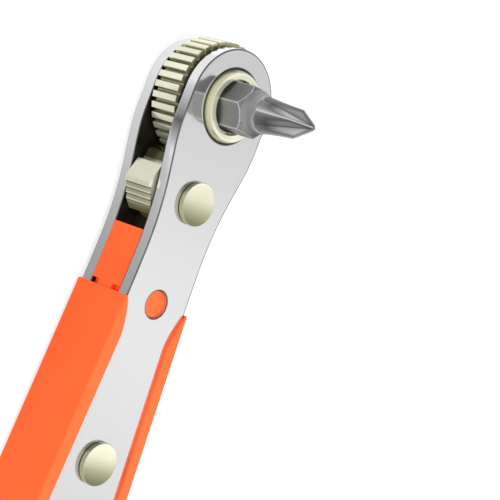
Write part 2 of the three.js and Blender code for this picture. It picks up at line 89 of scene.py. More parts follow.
front_low, front_high = levels_of("front_plate")
rear_low, rear_high = levels_of("rear_plate")
gap_middle = (rear_high + front_low) / 2
print("packed nodes:", len(frame["nodes"]), "bodies:", ", ".join(frame["bodies"]))

# %% [markdown]
# ## A kit for objects and nodes
# Finishes and Geometry Nodes are both trees of nodes. This kit adds a node in one line: each of its inputs
# may be a value or another node's output.

# %% Object and node kit


def add_object(name, data):
    """A new object in the scene."""
    obj = bpy.data.objects.new(name, data)
    bpy.context.collection.objects.link(obj)
    return obj


def add_sheet(name, width, height, level, finish):
    """A flat sheet in X and Y about the origin."""
    x, y, z = width * MM / 2, height * MM / 2, level * MM
    mesh = bpy.data.meshes.new(name)
    mesh.from_pydata([(-x, -y, z), (x, -y, z), (x, y, z), (-x, y, z)], [], [(0, 1, 2, 3)])
    mesh.materials.append(finish)
    return add_object(name, mesh)


def aim(obj, place, target):
    """Stands an object at a place, facing a target along its own -Z."""
    obj.location = Vector(place) * MM
    obj.rotation_euler = (Vector(target) - Vector(place)).to_track_quat("-Z", "Y").to_euler()


def feed(tree, node, sockets):
    """Gives each named input of a node its value or its link."""
    for key, value in sockets.items():
        if isinstance(value, bpy.types.NodeSocket):
            tree.links.new(value, node.inputs[key])
        else:
            node.inputs[key].default_value = value


def node_in(tree, kind, sockets, out=0, **settings):
    """Adds a node with its settings and inputs; gives back one of its outputs."""
    node = tree.nodes.new(kind)
    for key, value in settings.items():
        setattr(node, key, value)
    feed(tree, node, sockets)
    return node.outputs[out]


def math_in(tree, operation, *values):
    """Adds a Math node."""
    return node_in(tree, "ShaderNodeMath", dict(enumerate(values)), operation=operation)


def vector_in(tree, operation, *values, out="Vector"):
    """Adds a Vector Math node."""
    return node_in(tree, "ShaderNodeVectorMath", dict(enumerate(values)), out, operation=operation)


def own_place(tree):
    """Where a point is in Object coordinates, in metres."""
    return node_in(tree, "ShaderNodeTexCoord", {}, "Object")


def carried(tree, name):
    """A number that the mesh carries at its points."""
    return node_in(tree, "ShaderNodeAttribute", {}, "Fac", attribute_name=name)


def shades_in(tree, place, stops, warmth=1):
    """Turns a place from 0 to 1 into a shade by stops. A warmth over 1 takes blue out of the darks."""
    shade = node_in(tree, "ShaderNodeValToRGB", {"Fac": place}, "Color")
    marks = shade.node.color_ramp.elements
    while len(marks) < len(stops):
        marks.new(0.5)
    for mark, (position, grey) in zip(marks, sorted(stops)):
        mark.position = position
        mark.color = (grey, grey, grey ** warmth, 1)
    return shade


def paint(finish, sockets):
    """Feeds the Principled shader of a finish."""
    feed(finish.node_tree, finish.node_tree.nodes["Principled BSDF"], sockets)


def finish_of(name, metallic, specular=0.5):
    """A new finish with a Principled shader."""
    finish = bpy.data.materials.new(name)
    finish.use_nodes = True
    paint(finish, {"Metallic": metallic, "Specular IOR Level": specular})
    return finish


print("kit: objects, sheets, nodes and finishes")

# %% [markdown]
# ## Camera
# The camera was solved from the photograph's own edges, with the bit's 6.35 mm hex as the scale. A camera is
# fixed by where it stands, where it looks and which way its picture's right side points: the third axis
# follows from those two.

# %% Camera
CAMERA_PLACE = Vector((-24.743, 155.456, 157.323))
LOOK_DIRECTION = Vector((0.03573, -0.75391, -0.656)).normalized()
PICTURE_RIGHT = Vector((0.35364, -0.60441, 0.71388)).normalized()
PICTURE_WIDTH_PX = 500
FOCAL_LENGTH_PX = 1602.9
SENSOR_WIDTH = 36
NEAREST_SEEN = 10

camera_data = bpy.data.cameras.new("photo_camera")
camera_data.sensor_width = SENSOR_WIDTH
camera_data.lens = SENSOR_WIDTH * FOCAL_LENGTH_PX / PICTURE_WIDTH_PX
camera_data.clip_start = NEAREST_SEEN * MM
camera = add_object("photo_camera", camera_data)
picture_up = PICTURE_RIGHT.cross(LOOK_DIRECTION)
turn = Matrix((PICTURE_RIGHT, picture_up, -LOOK_DIRECTION)).transposed()
camera.matrix_world = Matrix.Translation(CAMERA_PLACE * MM) @ turn.to_4x4()
scene = bpy.context.scene
scene.camera = camera
print("camera lens", round(camera_data.lens, 2), "mm")

# %% [markdown]
# ## Studio
# The photograph is a bright, even product picture. The world lights everything evenly, and rays that the
# camera or a shiny surface sends out see plain white. Two softboxes add a little direction, which polished
# faces don't mirror. The floor glows only where it is looked at, so the shadow on it stays faint.

# %% World, lamps and floor
WHITE = (1, 1, 1, 1)
AMBIENT_STRENGTH = 0.93
TOOL_MIDDLE = (-30, 0, 5)
SOFTBOX_SIZE = 300
KEY_PLACE = (-160, 60, 420)
KEY_POWER = 1.4
FILL_PLACE = (-60, 450, 60)
FILL_POWER = 1
FLOOR_SIZE = 6000
FLOOR_DROP = 0.02
FLOOR_GREY = 0.35
FLOOR_GLOW = 0.72


def seen_directly(tree):
    """1 for camera, mirror and glass rays, 0 for the rays that light things."""
    path = tree.nodes.new("ShaderNodeLightPath").outputs
    either = math_in(tree, "MAXIMUM", path["Is Camera Ray"], path["Is Glossy Ray"])
    return math_in(tree, "MAXIMUM", either, path["Is Transmission Ray"])


def add_softbox(name, power, place):
    """A round lamp that lights the tool and shows in no reflection."""
    lamp = bpy.data.lights.new(name, "AREA")
    lamp.shape = "DISK"
    lamp.size = SOFTBOX_SIZE * MM
    lamp.energy = power
    softbox = add_object(name, lamp)
    softbox.visible_glossy = False
    aim(softbox, place, TOOL_MIDDLE)


scene.view_settings.view_transform = "Standard"
scene.world = bpy.data.worlds.new("white_studio")
scene.world.use_nodes = True
sky = scene.world.node_tree
strength = node_in(sky, "ShaderNodeMapRange", {
    "Value": seen_directly(sky), "To Min": AMBIENT_STRENGTH, "To Max": 1,
}, "Result")
feed(sky, sky.nodes["Background"], {"Color": WHITE, "Strength": strength})

add_softbox("key_softbox", KEY_POWER, KEY_PLACE)
add_softbox("fill_softbox", FILL_POWER, FILL_PLACE)

floor_finish = finish_of("white_floor", metallic=0, specular=0)
floor_seen = seen_directly(floor_finish.node_tree)
paint(floor_finish, {
    "Base Color": (FLOOR_GREY, FLOOR_GREY, FLOOR_GREY, 1), "Roughness": 1, "Emission Color": WHITE,
    "Emission Strength": math_in(floor_finish.node_tree, "MULTIPLY", floor_seen, FLOOR_GLOW),
})
floor = add_sheet("studio_floor", FLOOR_SIZE, FLOOR_SIZE, -FLOOR_DROP, floor_finish)
print("studio: white world, two softboxes and a floor")

# %% [markdown]
# ## Cards for the reflections
# Polished metal shows its shape only by what it reflects, so a photographer shapes it with cards. Each card
# here is a sheet whose grey changes along its own X, by stops of a place in millimetres and a shade. Ray
# visibility hides it from the camera and from the light, so it only shows in what a polished face mirrors:
# the standing cards in faces and rounded edges, the lying ones in the upright walls, which mirror the table.

# %% Cards that only reflections see
CARD_LIFT = 0.01
DARK_CARD_PLACE = (370, 80, 330)
HEAD_MIDDLE = (0, 0, 10)


def add_card(name, width, height, place, stops):
    """A sheet of graded grey, flat in X and Y, that shows in reflections alone."""
    finish = bpy.data.materials.new(name)
    finish.use_nodes = True
    tree = finish.node_tree
    tree.nodes.remove(tree.nodes["Principled BSDF"])
    along = node_in(tree, "ShaderNodeSeparateXYZ", {"Vector": own_place(tree)}, "X")
    share = node_in(tree, "ShaderNodeMapRange", {
        "Value": along, "From Min": -width * MM / 2, "From Max": width * MM / 2,
    }, "Result")
    grey = shades_in(tree, share, [(x / width + 0.5, shade) for x, shade in stops])
    glow = node_in(tree, "ShaderNodeEmission", {"Color": grey})
    tree.links.new(glow, tree.nodes["Material Output"].inputs["Surface"])
    card = add_sheet(name, width, height, 0, finish)
    card.location = Vector(place) * MM
    card.visible_camera = False
    card.visible_diffuse = False
    card.visible_transmission = False
    card.visible_shadow = False
    return card


dark_card = add_card("dark_card", 640, 420, DARK_CARD_PLACE, [(-320, 0.01), (320, 0.01)])
aim(dark_card, DARK_CARD_PLACE, HEAD_MIDDLE)
back_card = add_card("back_card", 900, 700, (0, -500, 460), [
    (-450, 0.5), (-300, 0.7), (-200, 0.84), (-110, 0.94), (-64, 1), (-13, 0.95), (52, 0.8), (110, 0.69),
    (160, 0.95), (450, 1),
])
back_card.rotation_euler = (math.radians(90), 0, 0)
add_card("near_card", 80, 11, (0, 10.5, -CARD_LIFT), [
    (-34, 0.34), (-22, 0.44), (-16, 0.56), (-10, 0.7), (-4, 0.78), (1, 0.92), (6, 1),
])
add_card("far_card", 80, 40, (0, 36, -CARD_LIFT), [
    (-34, 0.26), (-26, 0.45), (-20, 0.72), (-16, 1), (-12, 1), (-9.5, 0.5), (-4, 0.04), (0.5, 0.6), (5, 1),
])
add_card("shade_card", 120, 220, (-56, -105, -CARD_LIFT), [(-60, 0.06), (60, 0.06)])
print("cards for the reflections: five")

# %% [markdown]
# ## Finishes
# Every finish starts from one Principled shader. Uniform values go straight onto its sockets; what varies
# over the surface comes from noise on Object coordinates, in metres, so that grain has a real size.

# %% A finish with grain
GRAIN_DETAIL = 3
NOISE_LOW, NOISE_HIGH = 0.3, 0.7


def grain(finish, stretch):
    """Noise that makes so many waves in a metre along X, Y and Z."""
    tree = finish.node_tree
    place = node_in(tree, "ShaderNodeMapping", {"Vector": own_place(tree), "Scale": stretch})
    return node_in(tree, "ShaderNodeTexNoise", {"Vector": place, "Scale": 1, "Detail": GRAIN_DETAIL}, "Fac")


def spread(finish, noise, low, high):
    """Spreads noise over a range of numbers."""
    return node_in(finish.node_tree, "ShaderNodeMapRange", {
        "Value": noise, "From Min": NOISE_LOW, "From Max": NOISE_HIGH, "To Min": low, "To Max": high,
    }, "Result")


def blend(finish, factor, dark, light):
    """Blends two colours by a factor."""
    colours = {"Factor": factor, 6: (*dark, 1), 7: (*light, 1)}
    return node_in(finish.node_tree, "ShaderNodeMix", colours, 2, data_type="RGBA")


def relief(finish, noise, height):
    """Lets noise raise the surface by a height."""
    bump = {"Height": noise, "Strength": 1, "Distance": height * MM}
    paint(finish, {"Normal": node_in(finish.node_tree, "ShaderNodeBump", bump)})


def mottle(finish, noise, tones):
    """Lets noise blend a finish's colour from two tones."""
    paint(finish, {"Base Color": blend(finish, spread(finish, noise, 0, 1), *tones)})


def grained_finish(name, metallic, stretch, tones, roughness):
    """A metal whose colour and roughness follow one grain, and that grain."""
    finish = finish_of(name, metallic)
    noise = grain(finish, stretch)
    mottle(finish, noise, tones)
    paint(finish, {"Roughness": spread(finish, noise, *roughness)})
    return finish, noise


print("finish kit: grain, blends and relief")

# %% [markdown]
# ## Polished plate steel
# The side plates are polished along their length, so a very fine streak runs with X. Part of the light is
# scattered by that streak, which a metallic value a little under 1 gives without losing the reflections.
# The inner faces get a near-black finish, painted shade for the dark gap between the plates. The rounded
# edges and a thin margin get a darker finish, a painted dark line round the polished faces.

# %% Plate steel
plate_steel, streak = grained_finish(
    "plate_steel", metallic=0.94, stretch=(90, 5200, 5200),
    tones=((0.78, 0.78, 0.785), (0.8, 0.8, 0.805)), roughness=(0.09, 0.12),
)
relief(plate_steel, streak, height=0.00015)
# Painted shade: the inner faces are near-black to stand for the shade in the gap between the plates.
inner_painted_shade_steel, _ = grained_finish(
    "plate_inner_painted_shade", metallic=0.9, stretch=(700, 700, 700),
    tones=((0.028, 0.026, 0.015), (0.06, 0.055, 0.035)), roughness=(0.4, 0.6),
)
# Painted shade: a darker steel for the bevels and a thin margin draws a dark line round the polished faces.
edge_painted_shade_steel, _ = grained_finish(
    "edge_painted_shade_steel", metallic=0.9, stretch=(400, 400, 400),
    tones=((0.13, 0.13, 0.135), (0.19, 0.19, 0.195)), roughness=(0.25, 0.35),
)
print("finishes:", plate_steel.name, inner_painted_shade_steel.name, edge_painted_shade_steel.name)

# %% [markdown]
# ## Warm nickel
# The wheel, the pawl and the rivets are plated in a creamy nickel. A slow noise warms it here and there and
# a fine one gives it the tooth of a barrelled finish.

# %% Pale nickel
NICKEL_METALLIC = 0.95
pale_nickel, _ = grained_finish(
    "pale_nickel", NICKEL_METALLIC, stretch=(260, 260, 260),
    tones=((0.8, 0.79, 0.61), (0.88, 0.87, 0.7)), roughness=(0.16, 0.24),
)
relief(pale_nickel, grain(pale_nickel, (4200, 4200, 4200)), height=0.0012)
print("finish:", pale_nickel.name)

# %% [markdown]
# ## Painted shade on the nickel
# Painted shade darkens the nickel in the grooves, gaps and hollows where shade falls. Each shaded finish is a
# copy of an unshaded one, multiplied by a tint that a measure in millimetres picks: the distance from the
# wheel's axis or from the tool's middle level, the way down the thumb pad since the last lip, or the way
# across a rivet's face, which is painted light towards the wheel and darker away from it.

# %% Nickel with painted shade
PAINTED_SHADE_WARMTH = 1.3
PAD_APEX = (-13.631, 7.246, 0)
PAD_SLOPE = (-0.866, -0.5, 0)
PAD_OUTWARD = (PAD_SLOPE[1], -PAD_SLOPE[0], 0)
PAD_FIRST_LIP = 0.7
PAD_PITCH = 0.85
PAD_SKIN = 0.3


def nickel_with_painted_shade(name, measure, reach, stops, unshaded=pale_nickel, metallic=NICKEL_METALLIC):
    """A copy of a nickel with painted shade, tinted by stops of a measure in millimetres and a shade from 0
    to 1.
    """
    finish = unshaded.copy()
    finish.name = name
    tree = finish.node_tree
    colour = tree.nodes["Principled BSDF"].inputs["Base Color"].links[0].from_socket
    share = math_in(tree, "DIVIDE", measure(tree), reach * MM)
    tint = shades_in(tree, share, [(place / reach, shade) for place, shade in stops], PAINTED_SHADE_WARMTH)
    tinted = node_in(tree, "ShaderNodeMix", {"Factor": 1, 6: colour, 7: tint}, 2,
                     data_type="RGBA", blend_type="MULTIPLY")
    paint(finish, {"Base Color": tinted, "Metallic": metallic})
    return finish


def place_along(tree, direction, origin):
    """How far a point is along a direction from an origin in millimetres."""
    offset = vector_in(tree, "SUBTRACT", own_place(tree), Vector(origin) * MM)
    return vector_in(tree, "DOT_PRODUCT", offset, Vector(direction).normalized(), out="Value")


def from_axis(tree):
    """How far a point is from the wheel's axis."""
    flattened = vector_in(tree, "MULTIPLY", own_place(tree), (1, 1, 0))
    return vector_in(tree, "LENGTH", flattened, out="Value")


def from_middle_level(tree):
    """How far a point is above or below the middle of the gap between the plates."""
    return math_in(tree, "ABSOLUTE", place_along(tree, (0, 0, 1), (0, 0, gap_middle)))


def across_head(tree):
    """How far a point is across a rivet's face, as its mesh carries it."""
    return carried(tree, "across_head")


def since_last_lip(tree):
    """How far a point on the pawl's pad is below the lip above it; the rest of the pawl counts as a lip."""
    below = math_in(tree, "SUBTRACT", place_along(tree, PAD_SLOPE, PAD_APEX), PAD_FIRST_LIP * MM)
    step = math_in(tree, "WRAP", below, PAD_PITCH * MM, 0)
    outward = place_along(tree, PAD_OUTWARD, PAD_APEX)
    near = math_in(tree, "GREATER_THAN", outward, -PAD_SKIN * MM)
    on_pad = math_in(tree, "MULTIPLY", math_in(tree, "GREATER_THAN", below, 0), near)
    return node_in(tree, "ShaderNodeMix", {"Factor": on_pad, 2: PAD_PITCH * MM, 3: step})


# Painted shade: darker from the collar out over the rim and into the tooth grooves; the tooth tips and the
# middle of the hub keep the nickel's own colour.
wheel_nickel = nickel_with_painted_shade("wheel_nickel", from_axis, 10, [
    (4.64, 1), (4.72, 0.66), (5, 0.54), (5.06, 0.34), (5.12, 0.26), (7.6, 0.34), (7.8, 0.42), (8.22, 0.52),
    (8.34, 1),
], metallic=0.72)
# Painted shadow: the base of each rivet head's wall, against the plate, is made near-black.
rivet_wall_nickel = nickel_with_painted_shade("rivet_wall_nickel", from_middle_level, 6, [
    (4.4, 0.06), (4.58, 0.08), (4.68, 0.9), (4.75, 1),
])
# Painted light and shade: each rivet face runs from dark on its tail side to light towards the wheel.
rivet_nickel = nickel_with_painted_shade("rivet_nickel", across_head, 6, [
    (0.5, 0.24), (1.2, 0.35), (2.1, 0.5), (3, 0.71), (3.9, 0.88), (4.8, 0.96), (5.5, 1),
], rivet_wall_nickel, metallic=0.65)
# Painted shadow and highlight: dark just below each rib's lip, lightening to the nickel's own colour before
# the next lip.
ribbed_nickel = nickel_with_painted_shade("ribbed_nickel", since_last_lip, PAD_PITCH, [
    (0, 0.1), (0.16, 0.2), (0.24, 0.5), (0.62, 0.62), (0.7, 1), (0.85, 1),
])
# Painted shade: the parts of the pawl within 11.4 mm of the wheel's axis, deep between the plates, are made
# dark.
pad_nickel = nickel_with_painted_shade("pad_nickel", from_axis, 20, [(11.4, 0.12), (12, 1)], ribbed_nickel, metallic=0.7)
# Painted shade: a dark, nearly unmetallic nickel for the pawl's faces that look towards the grip.
foot_nickel = nickel_with_painted_shade("foot_nickel", from_axis, 20, [(0, 0.2), (20, 0.2)], metallic=0.2)
print("worn finishes:", wheel_nickel.name, rivet_nickel.name, pad_nickel.name, foot_nickel.name)

# %% [markdown]
# ## Satin bit steel
# The bit is hardened tool steel, darker and duller than the plates, with faint marks from turning that run
# round its axis: noise stretched flat along X and Y and tight along Z. The bit's mesh carries a tone at every
# point that sets how light the steel is: painted highlights on its edges and painted shade in the flutes.

# %% Bit steel
bit_steel = finish_of("bit_steel", metallic=1)
lathe_marks = grain(bit_steel, (300, 300, 5000))
# Painted light: the carried tone lightens the steel on edges and darkens it in the flutes.
painted_bit_light = carried(bit_steel.node_tree, "tone")
paint(bit_steel, {
    "Base Color": blend(bit_steel, painted_bit_light, (0.05, 0.05, 0.052), (0.92, 0.92, 0.925)),
    "Roughness": spread(bit_steel, lathe_marks, 0.48, 0.55),
})
relief(bit_steel, lathe_marks, height=0.0001)
print("finish:", bit_steel.name)

# %% [markdown]
# ## Orange moulding
# The grip is a semi-matt engineering plastic. A very fine grain from the mould breaks up its sheen.

# %% Orange plastic
orange_plastic = finish_of("orange_plastic", metallic=0, specular=0.2)
mottle(orange_plastic, grain(orange_plastic, (120, 120, 120)), ((1, 0.116, 0.024), (1, 0.13, 0.029)))
mould_grain = grain(orange_plastic, (5200, 5200, 5200))
paint(orange_plastic, {"Roughness": spread(orange_plastic, mould_grain, 0.42, 0.55)})
relief(orange_plastic, mould_grain, height=0.004)
print("finish:", orange_plastic.name)

# %% [markdown]
# ## Plain inner steel
# Washers, sleeves, the ball and its spring stay inside and only show as glints in the dark gaps.

# %% Inner steel
INNER_NODES = ["front_thrust_washer", "rear_thrust_washer", "bit_magnet", "pawl_sleeve", "handle_sleeve",
               "tail_sleeve", "detent_ball"]
inner_steel, _ = grained_finish(
    "inner_steel", metallic=1, stretch=(900, 900, 900),
    tones=((0.2, 0.2, 0.2), (0.32, 0.32, 0.31)), roughness=(0.3, 0.45),
)
for node in INNER_NODES:
    node_mesh = frame["nodes"][node].data
    node_mesh.materials.clear()
    node_mesh.materials.append(inner_steel)
print("inner nodes:", len(INNER_NODES))

# %% [markdown]
# ## Mesh helpers
# Two ways of making cover most of this tool: a slab cut from sheet and a loft through rings of points. Each
# ends as a plain mesh object at the origin, and a bevel can soften its edges.

# %% Slabs, lofts and soft edges


def object_of(name, bm, finish, sharp=28):
    """A linked object from a bmesh in millimetres, with edges over an angle left sharp."""
    bmesh.ops.scale(bm, vec=(MM, MM, MM), verts=bm.verts)
    bmesh.ops.recalc_face_normals(bm, faces=bm.faces)
    mesh = bpy.data.meshes.new(name)
    bm.to_mesh(mesh)
    bm.free()
    mesh.materials.append(finish)
    mesh.shade_smooth()
    mesh.set_sharp_from_angle(angle=math.radians(sharp))
    return add_object(name, mesh)


def plain_mesh(obj):
    """Turns an object's modifiers into its own mesh."""
    evaluated = obj.evaluated_get(bpy.context.evaluated_depsgraph_get())
    mesh = bpy.data.meshes.new_from_object(evaluated)
    obj.modifiers.clear()
    obj.data = mesh
    return obj


def soften(obj, width, segments=3, angle=35, slot=-1):
    """Rounds the sharp edges by a width, keeps flat faces flat and may give edges their own finish."""
    bevel = obj.modifiers.new("soft_edges", "BEVEL")
    bevel.width = width * MM
    bevel.segments = segments
    bevel.limit_method = "ANGLE"
    bevel.angle_limit = math.radians(angle)
    bevel.harden_normals = True
    bevel.material = slot
    obj.data.shade_smooth()
    return plain_mesh(obj)


def slab(outlines, bottom, top):
    """A flat piece cut from sheet: the first outline is its edge and the others are holes."""
    bm = bmesh.new()
    for outline in outlines:
        verts = [bm.verts.new((x, y, bottom)) for x, y in outline]
        for first, second in zip(verts, verts[1:] + verts[:1]):
            bm.edges.new((first, second))
    bmesh.ops.triangle_fill(bm, edges=bm.edges[:], use_beauty=True, use_dissolve=True)
    raised = bmesh.ops.extrude_face_region(bm, geom=bm.faces[:], use_keep_orig=True)
    moved = [item for item in raised["geom"] if isinstance(item, bmesh.types.BMVert)]
    bmesh.ops.translate(bm, vec=(0, 0, top - bottom), verts=moved)
    return bm


def loft(rings):
    """A skin through closed rings of points, with a flat face at each end."""
    bm = bmesh.new()
    rows = [[bm.verts.new(point) for point in ring] for ring in rings]
    for lower, upper in zip(rows, rows[1:]):
        for i, (a, b) in enumerate(zip(lower, upper)):
            j = (i + 1) % len(lower)
            bm.faces.new((a, lower[j], upper[j], b))
    bm.faces.new(rows[0][::-1])
    bm.faces.new(rows[-1])
    return bm


def joined(name, pieces, finish):
    """One object from several, which are then removed."""
    bm = bmesh.new()
    for piece in pieces:
        bm.from_mesh(piece.data)
        bpy.data.objects.remove(piece)
    for face in bm.faces:
        face.material_index = 0
    mesh = bpy.data.meshes.new(name)
    bm.to_mesh(mesh)
    bm.free()
    mesh.materials.append(finish)
    return add_object(name, mesh)


def carry(obj, name, values):
    """Lets a mesh carry a number at every point, for a finish to read."""
    obj.data.attributes.new(name, "FLOAT", "POINT").data.foreach_set("value", values)


def tell(obj):
    """Says what was made."""
    print(f"{obj.name}: {len(obj.data.polygons)} faces")


def arc(centre, radius, start, end, steps):
    """Points on an arc, with both ends."""
    turns = [math.radians(start + (end - start) * i / steps) for i in range(steps + 1)]
    return [(centre[0] + radius * math.cos(t), centre[1] + radius * math.sin(t)) for t in turns]


def circle(centre, radius, steps=96):
    """Points round a full circle."""
    return arc(centre, radius, 0, 360, steps)[:-1]


def bezier(points, steps=48):
    """Points on a curve through the first and last point, pulled by those between."""
    result = []
    for i in range(steps + 1):
        row = [Vector(p) for p in points]
        while len(row) > 1:
            row = [a.lerp(b, i / steps) for a, b in zip(row, row[1:])]
        result.append(tuple(row[0]))
    return result


def between(table, place):
    """Reads a table of (place, value) with straight lines between its rows."""
    for (low, first), (high, second) in zip(table, table[1:]):
        if place <= high:
            return first + (second - first) * (place - low) / (high - low)
    return table[-1][1]


def both_sides(half):
    """A closed outline from its +Y half, which runs from +X to -X."""
    return half + [(x, -y) for x, y in reversed(half) if y > 1e-6]


print("mesh kit: slabs, lofts, soft edges and curves")

# %% [markdown]
# ## Side plates
# The outline is a round head, a neck eased in to a waist with a cubic curve, and a slow flare to the tail,
# which the grip hides. Both plates are the same blanking, so one function cuts them. A small bevel and a
# narrow margin of darker steel are painted shade: they draw the thin dark line round each polished face.

# %% Side plates
HEAD_RADIUS = 7.8
HEAD_STRAIGHT = 4
NECK_HEAD_EASE = 5
NECK_WAIST_EASE = 9
WAIST_DISTANCE = 21
WAIST_HALF_WIDTH = 5.6
FLARE_EASE = 5.6
TAIL_DISTANCE = 77.5
PLATE_TAIL_RADIUS = 8.7
PLATE_EDGE = 0.12
PLATE_MARGIN = 0.21
JOURNAL_HOLE_RADIUS = 5.15
PEG_DISTANCE = 28.35
PEG_HOLE_RADIUS = 1.9
RIVET_HOLE_RADIUS = 1.5
INNER_SHADE_SLOT, EDGE_SLOT = 1, 2
FLAT_FACE = 0.9

RIVETS = ["pawl", "handle", "tail"]
rivet_boxes = [box_mm(f"{name}_rivet_post") for name in RIVETS]
rivet_places = [(low.x + high.x) / 2 for low, high in rivet_boxes]


def plate_edge(grow=0.0):
    """The +Y edge of a plate from the head to the tail, moved outwards by grow."""
    head, waist, tail = HEAD_RADIUS + grow, WAIST_HALF_WIDTH + grow, PLATE_TAIL_RADIUS + grow
    neck = [(-HEAD_STRAIGHT, head), (-HEAD_STRAIGHT - NECK_HEAD_EASE, head),
            (-WAIST_DISTANCE + NECK_WAIST_EASE, waist), (-WAIST_DISTANCE, waist)]
    flare = [(-WAIST_DISTANCE, waist), (-WAIST_DISTANCE - FLARE_EASE, waist), (-TAIL_DISTANCE, tail)]
    return (arc((0, 0), head, 0, 90, steps=48) + bezier(neck) + bezier(flare)[1:]
            + arc((-TAIL_DISTANCE, 0), tail, 90, 180, steps=40)[1:])


def half_width(x):
    """Half a plate's width at a place along the tool."""
    edge = plate_edge()
    for ahead, behind in zip(edge, edge[1:]):
        if behind[0] <= x < ahead[0]:
            share = (x - ahead[0]) / (behind[0] - ahead[0])
            return ahead[1] + share * (behind[1] - ahead[1])
    return PLATE_TAIL_RADIUS


def add_plate(node):
    """One plate with its holes, in place of a packed plate."""
    bottom, top = levels_of(node)
    holes = [circle((0, 0), JOURNAL_HOLE_RADIUS, steps=128), circle((-PEG_DISTANCE, 0), PEG_HOLE_RADIUS)]
    holes += [circle((x, 0), RIVET_HOLE_RADIUS, steps=48) for x in rivet_places]
    plate = object_of(f"{node}_polished", slab([both_sides(plate_edge())] + holes, bottom, top), plate_steel)
    plate.data.materials.append(inner_painted_shade_steel)
    plate.data.materials.append(edge_painted_shade_steel)
    inward = 1 if bottom < gap_middle else -1
    bm = bmesh.new()
    bm.from_mesh(plate.data)
    # Faces that look into the gap take the near-black painted shade.
    for face in bm.faces:
        face.material_index = INNER_SHADE_SLOT if face.normal.z * inward > FLAT_FACE else 0
    # The bevels and a thin margin of each outer face take the painted dark edge line.
    outer = [face for face in bm.faces if face.normal.z * inward < -FLAT_FACE]
    margin = bmesh.ops.inset_region(bm, faces=outer, thickness=PLATE_MARGIN * MM, use_even_offset=True)
    for face in margin["faces"]:
        face.material_index = EDGE_SLOT
    bm.to_mesh(plate.data)
    bm.free()
    soften(plate, PLATE_EDGE, slot=EDGE_SLOT)
    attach(plate, "frame")
    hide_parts(node)
    tell(plate)


add_plate("front_plate")
add_plate("rear_plate")

# %% [markdown]
# ## A small kit for Geometry Nodes
# The teeth, the rivets and the spring repeat or follow a rule, so each has a node tree with named inputs.

# %% Tree kit


class Tree:
    """A Geometry Nodes tree under construction. Each named input has a kind and a value."""

    def __init__(self, name, inputs):
        self.group = bpy.data.node_groups.new(name, "GeometryNodeTree")
        self.values = {}
        for label, (kind, value) in inputs.items():
            socket = self.group.interface.new_socket(label, in_out="INPUT", socket_type=f"NodeSocket{kind}")
            self.values[socket.identifier] = value
        self.group.interface.new_socket("Geometry", in_out="OUTPUT", socket_type="NodeSocketGeometry")
        self.inputs = self.group.nodes.new("NodeGroupInput").outputs

    def add(self, kind, sockets, out=0, **settings):
        """Adds a node; gives back one of its outputs."""
        return node_in(self.group, kind, sockets, out, **settings)

    def math(self, operation, *values):
        """A Math node."""
        return math_in(self.group, operation, *values)

    def join(self, *parts):
        """Joins geometries."""
        node = self.group.nodes.new("GeometryNodeJoinGeometry")
        for part in parts:
            self.group.links.new(part, node.inputs[0])
        return node.outputs[0]

    def finish(self, geometry, material):
        """Ends the tree in real geometry with its finish."""
        real = self.add("GeometryNodeRealizeInstances", {"Geometry": geometry})
        painted = self.add("GeometryNodeSetMaterial", {"Geometry": real, "Material": material})
        self.group.links.new(painted, self.group.nodes.new("NodeGroupOutput").inputs[0])

    def build(self, name):
        """An object made by the tree with its inputs' values, as a plain mesh."""
        obj = add_object(name, bpy.data.meshes.new(name))
        modifier = obj.modifiers.new(self.group.name, "NODES")
        modifier.node_group = self.group
        for identifier, value in self.values.items():
            modifier[identifier] = value
        return plain_mesh(obj)


print("tree kit ready")

# %% [markdown]
# ## Thumbwheel teeth
# The rim is a rule: a circle with four points for each tooth, two at the root and two at the tip. The tree
# moves each point by its index, rounds the corners, fills the outline round the bore and raises it. The
# edges are then eased, and faces with many sides are cut into triangles.

# %% Toothed rim
TOOTH_COUNT = 36
WHEEL_RADIUS = 8.4
TOOTH_DEPTH = 0.75
TOOTH_TOP_SHARE = 0.56
TOOTH_ROOT_SHARE = 0.8
TOOTH_CORNER = 0.06
TOOTH_EDGE = 0.09
RIM_BORE_RADIUS = 4.5
WHEEL_WIDTH = 4.4

rim = Tree("toothed_rim", {
    "Teeth": ("Int", TOOTH_COUNT), "Tip Radius": ("Float", WHEEL_RADIUS * MM),
    "Root Radius": ("Float", (WHEEL_RADIUS - TOOTH_DEPTH) * MM), "Top Share": ("Float", TOOTH_TOP_SHARE),
    "Root Share": ("Float", TOOTH_ROOT_SHARE), "Corner": ("Float", TOOTH_CORNER * MM),
    "Bore": ("Float", RIM_BORE_RADIUS * MM), "Bottom": ("Float", (gap_middle - WHEEL_WIDTH / 2) * MM),
    "Width": ("Float", WHEEL_WIDTH * MM), "Finish": ("Material", pale_nickel),
})
given = rim.inputs
calc = rim.math
index = rim.add("GeometryNodeInputIndex", {})
corner_number = calc("MODULO", index, 4)
tooth_number = calc("FLOOR", calc("DIVIDE", index, 4))
from_middle = calc("SUBTRACT", corner_number, 1.5)
at_tip = calc("SUBTRACT", 1.5, calc("ABSOLUTE", from_middle))
share_step = calc("SUBTRACT", given["Top Share"], given["Root Share"])
share = calc("MULTIPLY_ADD", at_tip, share_step, given["Root Share"])
aside = calc("MULTIPLY", calc("SIGN", from_middle), calc("MULTIPLY", share, 0.5))
middle = calc("ADD", tooth_number, 0.5)
teeth_turned = calc("DIVIDE", calc("ADD", middle, aside), given["Teeth"])
angle = calc("MULTIPLY", teeth_turned, math.tau)
depth_step = calc("SUBTRACT", given["Tip Radius"], given["Root Radius"])
radius = calc("MULTIPLY_ADD", at_tip, depth_step, given["Root Radius"])
tooth_point = rim.add("ShaderNodeCombineXYZ", {
    "X": calc("MULTIPLY", radius, calc("COSINE", angle)), "Y": calc("MULTIPLY", radius, calc("SINE", angle)),
})
